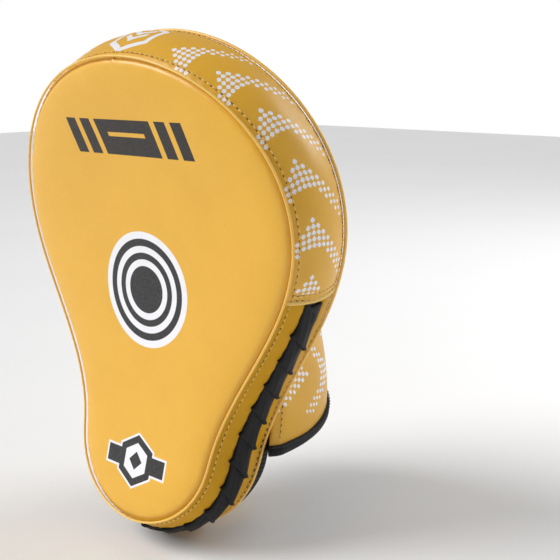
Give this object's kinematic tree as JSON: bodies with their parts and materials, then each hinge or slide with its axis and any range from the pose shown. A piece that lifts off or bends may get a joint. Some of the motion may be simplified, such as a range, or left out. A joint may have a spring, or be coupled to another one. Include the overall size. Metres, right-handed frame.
{
  "type": "focus mitt",
  "caption": "Curved pear shaped boxing focus mitt with a foam strike pad, laced rim, finger and thumb sleeves, flared wrist cuff and wrist bolster.",
  "frame": {"origin": "palm point on the outer surface of the back panel, at mid length of the striking face", "axes": "+X to the thumb side, +Y to the hand side so that the striking face looks to -Y, +Z along the fingers"},
  "size_m": [0.2078, 0.1299, 0.27],
  "materials": {
    "strike_leather": "smooth grained artificial leather, soft satin",
    "welt_leather": "turned leather edge, satin",
    "printed_leather": "satin, printed with pale dotted chevrons",
    "side_leather": "satin",
    "lace": "black flat lacing, dull",
    "back_leather": "satin",
    "foam": "closed cell foam, dull",
    "lining": "woven lining, dull",
    "mesh": "ribbed air mesh, dull",
    "hand_leather": "satin, double stitched",
    "sleeve_leather": "satin, double stitched",
    "cuff_leather": "satin, printed with pale dotted chevrons",
    "binding": "folded grosgrain binding, dull",
    "elastic": "ribbed elastic, dull",
    "bolster_leather": "satin, double stitched",
    "label": "satin care label"
  },
  "bodies": {
    "mitt": {"front_panel": "strike_leather", "front_welt": "welt_leather", "printed_gusset": "printed_leather", "front_side_strip": "side_leather", "rear_side_strip": "side_leather", "side_lace": "lace", "back_panel": "back_leather", "back_welt": "welt_leather", "strike_foam": "foam", "core_foam": "foam", "back_foam": "foam", "palm_lining": "lining", "hand_panel": "hand_leather", "hand_patch": "hand_leather", "vent_mesh": "mesh", "index_sleeve": "sleeve_leather", "middle_sleeve": "sleeve_leather", "ring_little_sleeve": "sleeve_leather", "thumb_sleeve": "sleeve_leather", "thumb_tab": "hand_leather", "elastic_thumb_side": "elastic", "elastic_little_side": "elastic", "bolster_cover": "bolster_leather", "bolster_foam": "foam", "bolster_mesh_thumb_side": "mesh", "bolster_mesh_little_side": "mesh"},
    "cuff": {"cuff_cover": "cuff_leather", "cuff_foam": "foam", "cuff_lining": "lining", "cuff_binding": "binding"},
    "label": {"care_label": "label"}
  },
  "joints": [
    {"name": "cuff_flare", "type": "hinge", "parent": "mitt", "child": "cuff", "pos_m": [0, 0.0606, -0.0113], "axis": [1, 0, 0], "range_deg": [0, 14], "stiffness_Nm_per_rad": 1.5, "springref_deg": -5.73, "deforming": ["elastic_thumb_side", "elastic_little_side"]},
    {"name": "label_flip", "type": "hinge", "parent": "mitt", "child": "label", "pos_m": [0.084, 0.0014, -0.004], "axis": [-0.4648, -0.036, -0.8847], "range_deg": [0, 150], "stiffness_Nm_per_rad": 0.0001}
  ]
}
